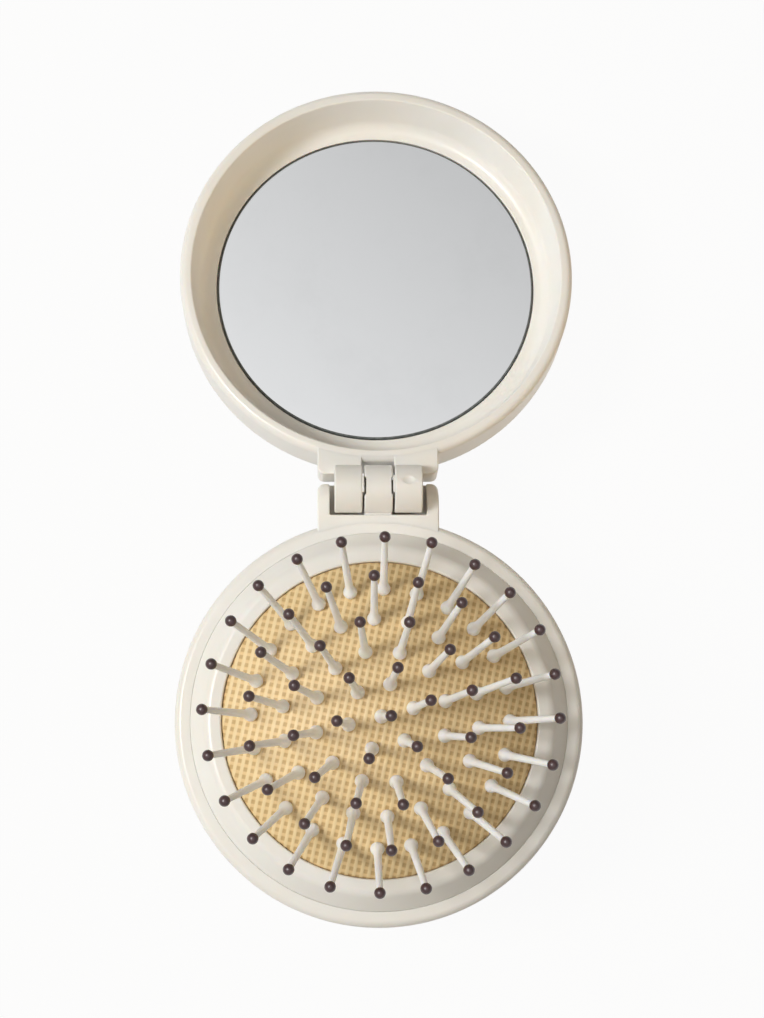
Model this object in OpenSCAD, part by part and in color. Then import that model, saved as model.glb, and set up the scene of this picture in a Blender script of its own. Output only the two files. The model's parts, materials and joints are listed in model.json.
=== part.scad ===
// Round compact hairbrush that folds over a mirror, shown open.
// Millimetres, +Z up. The origin is on the table, straight below the hinge line.
// The brush half lies on -Y and the mirror half on +Y, opened a little past flat.

/* [Case] */
// outer radius of both halves
case_r = 35; // [32:0.5:42]
// wall of the brush half beside the sliding tray
wall_t = 1.7; // [1.4:0.05:2.4]
// thickness of the floor ring
floor_t = 1.6; // [1.2:0.1:2.5]
// radius of the finger opening in the floor
finger_r = 20.5; // [16:0.5:22]
// rounding of the rim of the brush half
rim_round = 2.4; // [1.5:0.1:2.6]
// rounding of the lower edge of the brush half
foot_round = 1.5; // [0.5:0.1:2]
// height of the lip that keeps the tray in
lip_h = 2; // [1.5:0.1:3]
// width of that lip
lip_w = 1; // [0.8:0.05:1.4]

/* [Tray] */
// sideways play of the sliding tray
slide_gap = 0.15; // [0.1:0.01:0.3]
// height of the tray ring over the rim when it is up
ring_h = 3.5; // [3:0.1:4.2]
// width of the ring from its skirt to the gap around the cushion
ring_w = 5.3; // [4.9:0.05:5.6]
// slope of the ring's outer side, in degrees
ring_slope = 46; // [44:1:56]
// radius of the curve between that slope and the ring's flat top
ring_curve = 2.6; // [1.6:0.1:2.8]
// thickness of the foot flange of the ring
flange_t = 1.2; // [0.8:0.1:2]
// thickness of the carrier plate
plate_t = 2.4; // [1.2:0.1:2.8]
// width of the carrier plate's edge that lies under the ring
seat_w = 2.3; // [2:0.05:2.5]
// outer radius of the boss between the carrier and the pushed plate
boss_r = 10; // [8:0.5:12]
// wall of that boss
boss_t = 1.6; // [1.2:0.1:2.4]
// length of the webs around the boss
web_l = 9; // [6:0.5:10]
// thickness of those webs
web_t = 1.2; // [1:0.1:1.6]
// play at a stop
stop_gap = 0.1; // [0.05:0.01:0.2]
// thickness of the plate that is pushed
push_t = 1.5; // [1.2:0.1:2.5]
// depth of the thumb dish in it
dish_d = 0.6; // [0.3:0.1:0.8]

/* [Cushion] */
// height of the dome over its edge
dome_h = 6.6; // [4:0.1:8]
// thickness of the rubber
rubber_t = 1.8; // [1.2:0.1:2.5]
// thickness of the woven cover
cover_t = 0.4; // [0.3:0.05:0.6]
// gap between the cover and the ring
edge_gap = 0.3; // [0.2:0.05:0.5]
// depth of the cushion's edge below the ring's top
edge_drop = 0.3; // [0:0.1:0.6]

/* [Bristles] */
// distance from one ring of bristles to the next, along the dome
pin_pitch = 5.48; // [4.6:0.02:5.6]
// lean of each ring beyond the one inside it, in degrees
pin_lean = 8.4; // [6:0.1:8.6]
// length from the cover to the middle of the ball tip
pin_len = 14; // [11:0.1:15]
// radius of the swollen foot
foot_r = 1.2; // [1:0.05:1.3]
// radius of the shaft near its foot
shaft_r = 0.66; // [0.5:0.02:0.8]
// radius of the shaft at its tip
shaft_end_r = 0.54; // [0.4:0.02:0.6]
// radius of the root inside the cushion
root_r = 0.8; // [0.7:0.05:0.9]
// radius of the ball tip
ball_r = 0.95; // [0.8:0.05:1.2]

/* [Lid] */
// width of the lid's rim
lid_rim_w = 2.1; // [1.6:0.1:2.4]
// rounding of that rim's outer edge
lid_round = 1.2; // [0.8:0.1:1.4]
// depth from the lid's mouth to the glass
mirror_d = 8.3; // [7.5:0.1:10]
// thickness of the glass
glass_t = 1.2; // [1:0.1:2]
// thickness of the adhesive pad
pad_t = 0.35; // [0.2:0.05:0.6]
// thickness of the lid's back
back_t = 1.65; // [1.2:0.05:2.5]
// rounding of the lid's back edge
back_round = 3.2; // [2:0.1:4]
// lean of the wall inside the lid
wall_lean = 1; // [0.5:0.1:1.4]
// radius of the fillet at the foot of that wall
lid_fillet = 2.2; // [1.5:0.1:2.6]
// width of the ledge around the glass
ledge_w = 0.9; // [0.7:0.1:1.6]

/* [Hinge] */
// distance from the hinge line to the middle of each half
hinge_d = 40; // [39.6:0.1:41]
// radius of the hinge knuckles
knuckle_r = 4.15; // [3.8:0.05:4.4]
// half the width of the neck
neck_w = 10.55; // [10:0.05:13]
// height of the neck
neck_h = 6; // [5:0.1:7]
// thickness of the ears
ear_t = 2.1; // [1.8:0.05:2.6]
// half the width of the tongue
tongue_w = 2.45; // [2.2:0.05:2.8]
// gap between the tongue and a leaf
leaf_gap = 0.35; // [0.3:0.05:0.5]
// gap between a leaf and an ear
ear_gap = 0.85; // [0.4:0.05:1]
// thickness of the pocket's floor under the knuckles
pocket_t = 1.2; // [0.8:0.1:1.4]
// radius of the moulded pivots
pivot_r = 1.6; // [1.3:0.05:1.9]
// play around a pivot
pivot_gap = 0.05; // [0.02:0.01:0.08]
// gap between the two halves when shut
shut_gap = 0.3; // [0.2:0.05:0.5]
// opening past flat, in degrees
open_past = 5; // [2:0.5:7]

/* [Hidden] */
// rounding steps of true curves
$fn = 96;
// a little more than touching, for cuts
eps = 0.01;
tip_gap = 0.65;
bore_r = case_r - wall_t;
lip_r = bore_r - lip_w;
ring_r = lip_r - slide_gap;
flange_r = bore_r - slide_gap - 0.05;
ring_in_r = ring_r - ring_w;
seat_r = ring_in_r + seat_w;
cover_r = ring_in_r - edge_gap;
rubber_r = cover_r - cover_t;
edge_z = ring_h - edge_drop;
crown_z = edge_z + dome_h;
dome_r = (cover_r * cover_r + dome_h * dome_h) / (2 * dome_h);
seat_z = ring_h - 2.2;
plate_z = seat_z - plate_t;
flange_z = -lip_h - stop_gap - flange_t;
travel = crown_z + pin_len + ball_r + tip_gap - mirror_d - shut_gap;
case_h = travel - flange_z + stop_gap + floor_t;
push_z = travel + 0.2 - case_h;
lid_h = mirror_d + glass_t + pad_t + back_t;
mouth_r = case_r - lid_rim_w;
lid_floor_r = mouth_r - wall_lean - lid_fillet;
glass_r = lid_floor_r - ledge_w - 0.2;
ledge_d = mirror_d + 0.1;
axis_z = case_h + shut_gap / 2;
top_b = -shut_gap / 2;
leaf_in = tongue_w + leaf_gap;
ear_in = neck_w - ear_t;
leaf_out = ear_in - ear_gap;
ear_end = 1.5;
ear_round = 4;
corner_r = 1.2;
block_y = 2.8;
foot_z = 0.25;
web_root = 1;
swell_top = 1.8;
shaft_start = 2.4;
ring_foot = 0.3;
notch_y = knuckle_r + 1.6;
window_y = knuckle_r + 0.3;
PIN_COUNT = [1, 6, 12, 18, 24];
PIN_TURN = [0, 16, 16.8, -3.6, 1.7];
IVORY = [0.93, 0.90, 0.84];
NYLON = [0.95, 0.94, 0.92];
BROWN = [0.30, 0.18, 0.18];
BEIGE = [0.84, 0.72, 0.52];
RUBBER = [0.62, 0.50, 0.36];

// Everything on the brush half is drawn from the middle of its rim plane.
module at_rim() {
  translate([0, -hinge_d, case_h])
    children();
}

// A side view, first axis +Y and second +Z from the hinge line, made from x0 to x1.
module side(x0, x1) {
  translate([x0, 0, axis_z])
    rotate([90, 0, 90])
      linear_extrude(height = x1 - x0)
        children();
}

module both_sides() {
  children();
  mirror([1, 0, 0])
    children();
}

// A box in a side view, from (y0, z0) to (y1, z1).
module panel(y0, z0, y1, z1) {
  translate([y0, z0])
    square([y1 - y0, z1 - z0]);
}

// The lid is drawn open and level, from the middle of its mouth with depth as -Z, then leaned back.
module at_lid() {
  translate([0, 0, axis_z])
    rotate([-open_past, 0, 0])
      translate([0, hinge_d, top_b])
        children();
}

module at_lid_hinge() {
  translate([0, 0, axis_z])
    rotate([-open_past, 0, 0])
      translate([0, 0, -axis_z])
        children();
}

module case_outline() {
  difference() {
    union() {
      translate([0, -case_h])
        square([case_r - foot_round, case_h - rim_round]);
      translate([0, foot_round - case_h])
        square([case_r, case_h - foot_round - rim_round]);
      translate([0, -rim_round - eps])
        square([case_r - rim_round, rim_round + eps]);
      translate([case_r - rim_round, -rim_round])
        circle(r = rim_round);
      translate([case_r - foot_round, foot_round - case_h])
        circle(r = foot_round);
    }
    translate([-1, -case_h - 1])
      square([1 + bore_r, case_h + 1 - lip_h]);
    translate([-1, -lip_h - 1])
      square([1 + lip_r, lip_h + 2]);
  }
}

module ear_profile() {
  panel(-hinge_d, top_b - neck_h, ear_end - ear_round, top_b);
  panel(-hinge_d, top_b - neck_h, ear_end, top_b - ear_round);
  translate([ear_end - ear_round, top_b - ear_round])
    circle(r = ear_round);
}

module tongue_profile() {
  circle(r = knuckle_r);
  panel(-window_y - 2, -knuckle_r, 0, top_b);
}

module leaf_profile() {
  circle(r = knuckle_r);
  panel(0, -knuckle_r, block_y + 1, top_b);
}

// A block in plan with two rounded corners on the side y1, from the hinge line's level down.
module plan(w, y0, y1) {
  s = sign(y1 - y0);
  translate([0, 0, axis_z - neck_h - 1])
    linear_extrude(height = neck_h + 2) {
      translate([-w, min(y0, y1 - s * corner_r)])
        square([2 * w, abs(y1 - y0) - corner_r]);
      translate([corner_r - w, min(y0, y1)])
        square([2 * (w - corner_r), abs(y1 - y0)]);
      both_sides()
        translate([w - corner_r, y1 - s * corner_r])
          circle(r = corner_r);
    }
}

module base_neck() {
  difference() {
    intersection() {
      side(-neck_w, neck_w)
        ear_profile();
      plan(neck_w, -hinge_d, ear_end);
    }
    side(-ear_in, ear_in)
      panel(-window_y, top_b - neck_h + pocket_t, hinge_d, 1);
  }
  difference() {
    side(-tongue_w, tongue_w)
      tongue_profile();
    side(-tongue_w - 1, tongue_w + 1)
      circle(r = pivot_r + pivot_gap);
    both_sides()
      side(tongue_w - 0.3, tongue_w + 1)
        panel(-pivot_r - 0.1, 0, pivot_r + 0.1, knuckle_r + 1);
  }
}

module base_shell() {
  color(IVORY) {
    at_rim()
      rotate_extrude()
        case_outline();
    difference() {
      base_neck();
      at_rim()
        translate([0, 0, -case_h]) {
          cylinder(r = case_r - rim_round, h = case_h * 2);
          cylinder(r = bore_r, h = case_h - lip_h);
        }
    }
  }
}

module base_floor() {
  color(IVORY)
    translate([0, -hinge_d, 0])
      difference() {
        cylinder(r = bore_r, h = floor_t);
        translate([0, 0, -1])
          cylinder(r = finger_r, h = floor_t + 2);
      }
}

module ring_outline() {
  bend = ring_curve * tan(ring_slope / 2);
  corner_x = max(ring_r - (ring_h - ring_foot) / tan(ring_slope), ring_in_r + bend + 0.2);
  bend_z = ring_h - bend * sin(ring_slope);
  difference() {
    union() {
      polygon([
        [ring_in_r, flange_z], [ring_r, flange_z], [ring_r, ring_foot],
        [corner_x + bend * cos(ring_slope), bend_z], [corner_x - bend, ring_h], [ring_in_r, ring_h]
      ]);
      intersection() {
        translate([corner_x - bend, ring_h - ring_curve])
          circle(r = ring_curve);
        translate([corner_x - bend, bend_z])
          square([2 * bend, ring_h]);
      }
      translate([ring_in_r, flange_z])
        square([flange_r - ring_in_r, flange_t]);
    }
    translate([0, flange_z - 1])
      square([seat_r, seat_z - flange_z + 1]);
  }
}

module tray_ring() {
  color(IVORY)
    at_rim()
      rotate_extrude()
        ring_outline();
}

module tray_carrier() {
  color(IVORY)
    at_rim() {
      translate([0, 0, plate_z])
        cylinder(r = seat_r, h = plate_t);
      for (a = [0 : 60 : 300])
        rotate([0, 0, a])
          translate([boss_r - web_root, -web_t / 2, push_z + push_t])
            cube([web_root + web_l, web_t, plate_z - push_z - push_t + eps]);
      difference() {
        translate([0, 0, push_z + push_t])
          cylinder(r = boss_r, h = plate_z - push_z - push_t + eps);
        translate([0, 0, push_z])
          cylinder(r = boss_r - boss_t, h = plate_z - push_z);
      }
    }
}

module push_plate() {
  color(IVORY)
    at_rim()
      translate([0, 0, push_z])
        difference() {
          cylinder(r = finger_r - 0.5, h = push_t);
          translate([0, 0, -eps])
            cylinder(r1 = finger_r * 0.75, r2 = finger_r * 0.65, h = dish_d + eps);
        }
}

// The part of a ball of radius r about the dome's middle that is over height z and inside radius w.
module cap(r, w, z) {
  intersection() {
    translate([0, 0, crown_z - dome_r])
      sphere(r = r, $fn = 192);
    translate([0, 0, z])
      cylinder(r = w, h = crown_z - z + 1);
  }
}

module cushion() {
  color(RUBBER)
    at_rim()
      difference() {
        cap(dome_r - cover_t, rubber_r, seat_z);
        cap(dome_r - cover_t - rubber_t, rubber_r - rubber_t, seat_z - 1);
        roots();
      }
}

module woven_cover() {
  color(BEIGE)
    at_rim()
      difference() {
        cap(dome_r, cover_r, seat_z);
        cap(dome_r - cover_t, rubber_r, seat_z - 1);
        roots();
      }
}

// Stands children on the dome at every place of one ring, or in the middle for ring 0.
module on_ring(k) {
  turn = k * pin_pitch / dome_r * 180 / PI;
  for (i = [0 : PIN_COUNT[k] - 1])
    rotate([0, 0, -PIN_TURN[k] - i * 360 / PIN_COUNT[k]])
      translate([0, dome_r * sin(turn), crown_z - dome_r + dome_r * cos(turn)])
        rotate([-k * pin_lean, 0, 0])
          children();
}

module root(extra) {
  translate([0, 0, -rubber_t - cover_t - 0.4 - extra])
    cylinder(r = root_r, h = rubber_t + cover_t + 0.4 + 2 * extra, $fn = 24);
}

module roots() {
  for (k = [0 : 4])
    on_ring(k)
      root(0.5);
}

module bristle() {
  socket = pin_len - 0.55;
  root(0);
  rotate_extrude($fn = 32)
    polygon([
      [0, -eps], [root_r, -eps], [root_r, foot_z], [foot_r * 0.93, foot_z + 0.22],
      [foot_r, foot_z + 0.5], [foot_r * 0.97, foot_z + 0.85], [foot_r * 0.84, foot_z + 1.25],
      [shaft_r * 1.22, foot_z + swell_top], [shaft_r * 1.05, foot_z + shaft_start],
      [shaft_end_r, socket], [0, socket]
    ]);
}

module ball() {
  difference() {
    translate([0, 0, pin_len])
      sphere(r = ball_r, $fn = 32);
    translate([0, 0, pin_len - 2 * ball_r])
      cylinder(r = shaft_end_r, h = 2 * ball_r - 0.55, $fn = 32);
  }
}

module bristles(k) {
  color(NYLON)
    at_rim()
      on_ring(k)
        bristle();
}

module tips(k) {
  color(BROWN)
    at_rim()
      on_ring(k)
        ball();
}

module bristle_centre() {
  bristles(0);
}

module bristle_ring_1() {
  bristles(1);
}

module bristle_ring_2() {
  bristles(2);
}

module bristle_ring_3() {
  bristles(3);
}

module bristle_ring_4() {
  bristles(4);
}

module tip_centre() {
  tips(0);
}

module tip_ring_1() {
  tips(1);
}

module tip_ring_2() {
  tips(2);
}

module tip_ring_3() {
  tips(3);
}

module tip_ring_4() {
  tips(4);
}

module lid_outline() {
  translate([0, -lid_h])
    square([case_r - back_round, lid_h]);
  translate([0, back_round - lid_h])
    square([case_r, lid_h - back_round - lid_round]);
  translate([0, -lid_round - eps])
    square([case_r - lid_round, lid_round + eps]);
  translate([case_r - lid_round, -lid_round])
    circle(r = lid_round);
  translate([case_r - back_round, back_round - lid_h])
    circle(r = back_round);
}

module lid_hollow() {
  wall_d = ledge_d - lid_fillet;
  polygon([[0, 1], [mouth_r + 0.1, 1], [mouth_r, 0], [mouth_r - wall_lean, -wall_d], [0, -wall_d]]);
  translate([0, -ledge_d])
    square([lid_floor_r, lid_fillet + 1]);
  translate([0, -wall_d])
    intersection() {
      translate([lid_floor_r, 0])
        circle(r = lid_fillet);
      translate([0, -lid_fillet])
        square([case_r, lid_fillet + eps]);
    }
  translate([0, -lid_h + back_t])
    square([glass_r + 0.2, lid_h]);
}

module lid_neck() {
  difference() {
    intersection() {
      side(-neck_w, neck_w)
        panel(block_y, top_b - neck_h, hinge_d / 2, top_b);
      plan(neck_w, hinge_d / 2, block_y);
    }
    side(-leaf_in, leaf_in)
      panel(0, -neck_h - 2, notch_y, 1);
  }
  difference() {
    both_sides()
      side(leaf_in, leaf_out)
        leaf_profile();
    translate([(leaf_in + leaf_out) / 2, 0.7, axis_z + knuckle_r + 0.7])
      sphere(r = 1);
  }
  both_sides()
    side(tongue_w / 2, leaf_in + eps)
      circle(r = pivot_r);
}

module lid_shell() {
  color(IVORY)
    difference() {
      union() {
        at_lid()
          rotate_extrude()
            lid_outline();
        at_lid_hinge()
          lid_neck();
      }
      at_lid()
        rotate_extrude()
          lid_hollow();
    }
}

module mirror_glass() {
  color([0.80, 0.82, 0.84])
    at_lid()
      translate([0, 0, -mirror_d - glass_t])
        union() {
          cylinder(r = glass_r, h = glass_t - 0.3);
          translate([0, 0, glass_t - 0.3])
            cylinder(r1 = glass_r, r2 = glass_r - 0.3, h = 0.3);
        }
}

module mirror_pad() {
  color([0.75, 0.73, 0.70])
    at_lid()
      translate([0, 0, -lid_h + back_t])
        cylinder(r = glass_r - 1.2, h = pad_t);
}

base_shell();
base_floor();
tray_ring();
tray_carrier();
push_plate();
cushion();
woven_cover();
bristle_centre();
bristle_ring_1();
bristle_ring_2();
bristle_ring_3();
bristle_ring_4();
tip_centre();
tip_ring_1();
tip_ring_2();
tip_ring_3();
tip_ring_4();
lid_shell();
mirror_glass();
mirror_pad();
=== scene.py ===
"""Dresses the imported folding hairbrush: ivory case, woven cushion, nylon bristles and mirror lid."""

import json
import math

import bmesh
import bpy
import numpy as np
from mathutils import Matrix, Vector


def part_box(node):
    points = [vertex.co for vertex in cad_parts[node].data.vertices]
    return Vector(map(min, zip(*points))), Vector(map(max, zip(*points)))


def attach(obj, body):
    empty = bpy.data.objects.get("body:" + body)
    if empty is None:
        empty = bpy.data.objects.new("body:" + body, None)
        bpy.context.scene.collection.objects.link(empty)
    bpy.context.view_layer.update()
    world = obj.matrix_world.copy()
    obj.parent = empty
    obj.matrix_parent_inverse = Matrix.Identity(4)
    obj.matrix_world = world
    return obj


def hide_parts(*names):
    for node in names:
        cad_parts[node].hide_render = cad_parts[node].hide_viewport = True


bl_info = {
    "name": "Folding Hairbrush",
    "version": (1, 0, 0),
    "blender": (4, 5, 0),
    "location": "3D View > Sidebar > Hairbrush",
    "description": "Builds a round compact hairbrush that folds over its mirror",
    "category": "Add Mesh",
}

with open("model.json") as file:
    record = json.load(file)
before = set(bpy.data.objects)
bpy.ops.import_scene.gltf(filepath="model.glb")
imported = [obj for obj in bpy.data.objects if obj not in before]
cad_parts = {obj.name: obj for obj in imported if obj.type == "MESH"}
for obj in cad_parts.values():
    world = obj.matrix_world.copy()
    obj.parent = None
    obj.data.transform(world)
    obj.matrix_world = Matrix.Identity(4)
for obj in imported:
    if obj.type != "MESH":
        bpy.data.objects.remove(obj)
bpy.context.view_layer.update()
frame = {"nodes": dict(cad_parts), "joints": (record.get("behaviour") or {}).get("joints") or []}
MM = 0.001

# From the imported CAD: the hinge line, the case, and how far each half's middle lies from that line
HINGE = Vector(frame["joints"][0]["pos_m"])
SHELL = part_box("base_shell")
HALF_SHUT_GAP = 0.15 * MM
CASE_R = SHELL[1].x
CASE_H = HINGE.z - HALF_SHUT_GAP
HINGE_D = -SHELL[0].y - CASE_R
LID_LEAN = math.radians(-5)

# Necks, seen from above: corner roundings, and how far each part lies from the hinge line
NECK_CORNER = 1.2 * MM
NICK = 0.3 * MM
EAR_END = 1.5 * MM
THROAT = 4.45 * MM
BLOCK = 2.8 * MM
NOTCH = 5.75 * MM
ROOT = 0.3 * MM
WALL_STEPS = 6

# Ears and the floor of the pocket between them
EAR_ROUND = 4.0 * MM
EAR_BENDS = (0, 12, 24, 36, 48, 58, 66)
POCKET = 1.2 * MM
HAIR = 0.01 * MM

# Leaves and tongue: their bars, the tongue's waist, the leaves' rub pads, pivots and dimple
BAR_DROP = 0.3 * MM
BAR_ROOT = 0.8 * MM
WAIST = 0.3 * MM
WAIST_HALF = 1.7 * MM
WAIST_PAST = 1.0 * MM
PAD = 0.3 * MM
PAD_TURN = 21.0
PAD_SUNK = 0.1 * MM
PAD_FOOT = 0.4 * MM
PAD_ROUND = 0.12 * MM
PIVOT_PLAY = 0.05 * MM
DIMPLE_R = 2.4 * MM
DIMPLE_LIFT = 2.1 * MM
DIMPLE_SHIFT = 0.9 * MM

# Case, tray ring and lid
FOOT_ROUND = 1.5 * MM
FINE_ROUND = 0.1 * MM
SMALL_ROUND = 0.2 * MM
MOUTH_ROUND = 0.35 * MM
FLANGE_THICK = 1.2 * MM
RING_DEPTH = 2.2 * MM
RECESS_ROUND = 0.15 * MM
GLASS_GAP = 0.2 * MM
GLASS_BEVEL = 0.3 * MM
FOAM = 0.35 * MM

# Bristles: depth of the root, height of the foot, and its outline as shares of a radius and
# heights in millimetres
ROOT_DEPTH = 0.8 * MM
FOOT_LIFT = 0.15 * MM
FOOT_OUTLINE = ((0.93, 0.22), (1.0, 0.5), (0.98, 0.85), (0.86, 1.25))
SHAFT_OUTLINE = ((1.24, 1.75), (1.08, 2.3), (1.0, 3.2))
SOCKET = 0.3 * MM
TURNS = ("First turn", "Second turn", "Third turn", "Fourth turn")

# Colours that have no slider
WORN = (0.92, 0.90, 0.86)
EDGE_DARK = (0.10, 0.11, 0.11)
EDGE_LIGHT = (0.17, 0.19, 0.19)
FOAM_DARK = (0.42, 0.41, 0.38)
FOAM_LIGHT = (0.62, 0.60, 0.57)
WHITE = (1.0, 1.0, 1.0)

# Where the key lamp and the lamp for gloss point
LAMP_TARGET = (0, -0.01, 0.02)


def mm(name, about, value, low=0.0):
    """A length property that is written in millimetres."""
    kind = {"precision": 5, "subtype": "DISTANCE", "unit": "LENGTH"}
    return bpy.props.FloatProperty(
        name=name, description=about, default=value * MM, min=low * MM, **kind
    )


def tint(name, about, value):
    """A colour property."""
    return bpy.props.FloatVectorProperty(
        name=name, description=about, default=value, size=3, min=0, max=1, subtype="COLOR"
    )


def degrees(name, about, value):
    """An angle property that is written in degrees."""
    return bpy.props.FloatProperty(
        name=name, description=about, default=math.radians(value), subtype="ANGLE", unit="ROTATION"
    )


def place_at(name, about, value):
    """A place in metres."""
    return bpy.props.FloatVectorProperty(
        name=name, description=about, default=value, size=3, subtype="TRANSLATION"
    )


def amount(name, about, value, low=0.0, unit="NONE"):
    """A number that isn't negative."""
    return bpy.props.FloatProperty(name=name, description=about, default=value, min=low, unit=unit)


class CaseSizes(bpy.types.PropertyGroup):
    """Sizes of the brush half and its tray ring."""

    radius: mm("Case radius", "Outer radius of both halves", CASE_R / MM)
    height: mm("Case height", "From the table to the rim plane", CASE_H / MM)
    rim_round: mm("Rim rounding", "Rounding of the rim outside", 1.2)
    bore: mm("Bore", "Radius of the bore that the tray slides in", 33.3)
    lip: mm("Lip radius", "Inner radius of the lip that keeps the tray in", 32.3)
    lip_height: mm("Lip height", "Height of that lip", 2.0)
    ring_height: mm("Ring height", "Height of the tray ring over the rim", 3.5)
    ring_radius: mm("Ring radius", "Outer radius of the tray ring", 32.28)
    ring_inner: mm("Ring inner radius", "Radius of its opening around the cushion", 26.85)
    ring_corner: mm("Ring corner", "Radius where its flat top and its slope would meet", 29.49)
    ring_curve: mm("Ring curve", "Radius of the curve between them", 2.0)
    ring_foot: mm("Ring foot", "Height of the slope's lower edge over the rim", 0.05)
    ring_seat: mm("Ring seat", "Radius of the seat that the carrier fills", 29.15)
    flange: mm("Flange radius", "Radius of its foot, which stops under the lip", 33.1)
    foot: mm("Foot height", "Height of that foot over the rim", -3.3, -20)


class HingeSizes(bpy.types.PropertyGroup):
    """Sizes of the neck and the hinge."""

    knuckle: mm("Knuckle radius", "Radius of the leaves and the tongue", 4.15)
    neck: mm("Half neck", "Half the width of the neck", 10.55)
    depth: mm("Neck depth", "Height of the neck", 6.0)
    ear: mm("Ear thickness", "Thickness of the two ears", 2.1)
    tongue: mm("Half tongue", "Half the width of the tongue", 2.45)
    leaf_in: mm("Leaf start", "From the middle to each leaf's inner face", 2.8)
    leaf_out: mm("Leaf end", "From the middle to each leaf's outer face", 7.6)
    pivot: mm("Pivot radius", "Radius of the moulded pivots", 1.6)
    edge: mm("Edge rounding", "Rounding of the moulded edges", 0.28)


class LidSizes(bpy.types.PropertyGroup):
    """Sizes of the lid."""

    height: mm("Lid height", "Depth of the lid outside", 11.5)
    mouth: mm("Mouth radius", "Inner radius at the lid's mouth", 32.9)
    rim_round: mm("Rim rounding", "Rounding of the lid's rim outside", 1.2)
    floor: mm("Floor radius", "Radius of the flat ledge around the glass", 29.7)
    ledge: mm("Ledge depth", "Depth of the ledge below the mouth", 8.4)
    fillet: mm("Fillet", "Radius of the fillet at the foot of the wall", 2.2)
    back_round: mm("Back rounding", "Rounding of the lid's back edge", 3.2)
    glass: mm("Glass radius", "Radius of the mirror", 28.6)
    glass_depth: mm("Glass depth", "Depth of the glass below the mouth", 8.3)
    glass_thick: mm("Glass thickness", "Thickness of the mirror", 1.2)


class CushionSizes(bpy.types.PropertyGroup):
    """Sizes of the woven cushion."""

    radius: mm("Cushion radius", "Radius of the woven cover", 26.82)
    dome: mm("Dome height", "Height of the dome over its edge", 6.6)
    edge: mm("Edge height", "Height of the cushion's edge over the rim", 3.2)
    seat: mm("Seat height", "Height of its underside over the rim", 1.3)
    pitch: mm("Weave pitch", "Distance from one thread to the next", 1.23)
    relief: mm("Weave relief", "Height of the threads over the pits", 0.12)
    turn: degrees("Weave turn", "Turn of the weave, clockwise from above", 12.5)


class BristleSizes(bpy.types.PropertyGroup):
    """Sizes of the bristles and their tips."""

    pitch: mm("Ring pitch", "Distance between rings along the dome", 5.48)
    lean: degrees("Lean step", "Lean of each ring beyond the one inside it", 8.4)
    length: mm("Bristle length", "From the cover to the middle of the tip", 14.0)
    foot: mm("Foot radius", "Radius of the swollen foot", 1.2)
    shaft: mm("Shaft radius", "Radius of the shaft near its foot", 0.66)
    shaft_end: mm("Shaft end radius", "Radius of the shaft at its tip", 0.54)
    root: mm("Root radius", "Radius of the root in the cushion", 0.8)
    ball: mm("Tip radius", "Radius of the ball tip", 0.95)
    scatter: degrees("Scatter", "How far bristles stray from their ring's lean", 1.6)
    seed: bpy.props.IntProperty(name="Seed", description="Seed of the scatter", default=7, min=0)
    rings: bpy.props.IntProperty(
        name="Rings", description="Rings around the middle bristle", default=4, min=1, max=4
    )
    centre_lean: degrees("Centre lean", "Lean of the middle bristle", 6)
    centre_turn: degrees("Centre turn", "Where it leans, clockwise from the hinge side", 120)
    turns: bpy.props.FloatVectorProperty(
        name="Ring turns",
        description="Turn of each ring, clockwise from the hinge side",
        default=[math.radians(a) for a in (16.0, 16.8, -3.6, 1.7)],
        size=4,
        unit="ROTATION",
    )


class Finishes(bpy.types.PropertyGroup):
    """Colours of the brush."""

    ivory: tint("Ivory", "Moulded case plastic", (0.885, 0.86, 0.815))
    ivory_deep: tint("Deep ivory", "Yellower patches of that plastic", (0.86, 0.825, 0.76))
    nylon: tint("Nylon", "Bristles", (0.945, 0.935, 0.92))
    tip: tint("Tip", "Ball tips", (0.038, 0.010, 0.011))
    warp: tint("Warp", "Light threads that run from the hinge to the front", (0.91, 0.71, 0.40))
    weft: tint("Weft", "Threads across", (0.85, 0.61, 0.31))
    # The pit colour is painted shade: the hollows between the threads are drawn darker than the threads.
    pit: tint("Pit", "Shade between threads", (0.62, 0.42, 0.19))
    silver: tint("Silver", "Mirror coating", (0.88, 0.89, 0.90))


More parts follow.
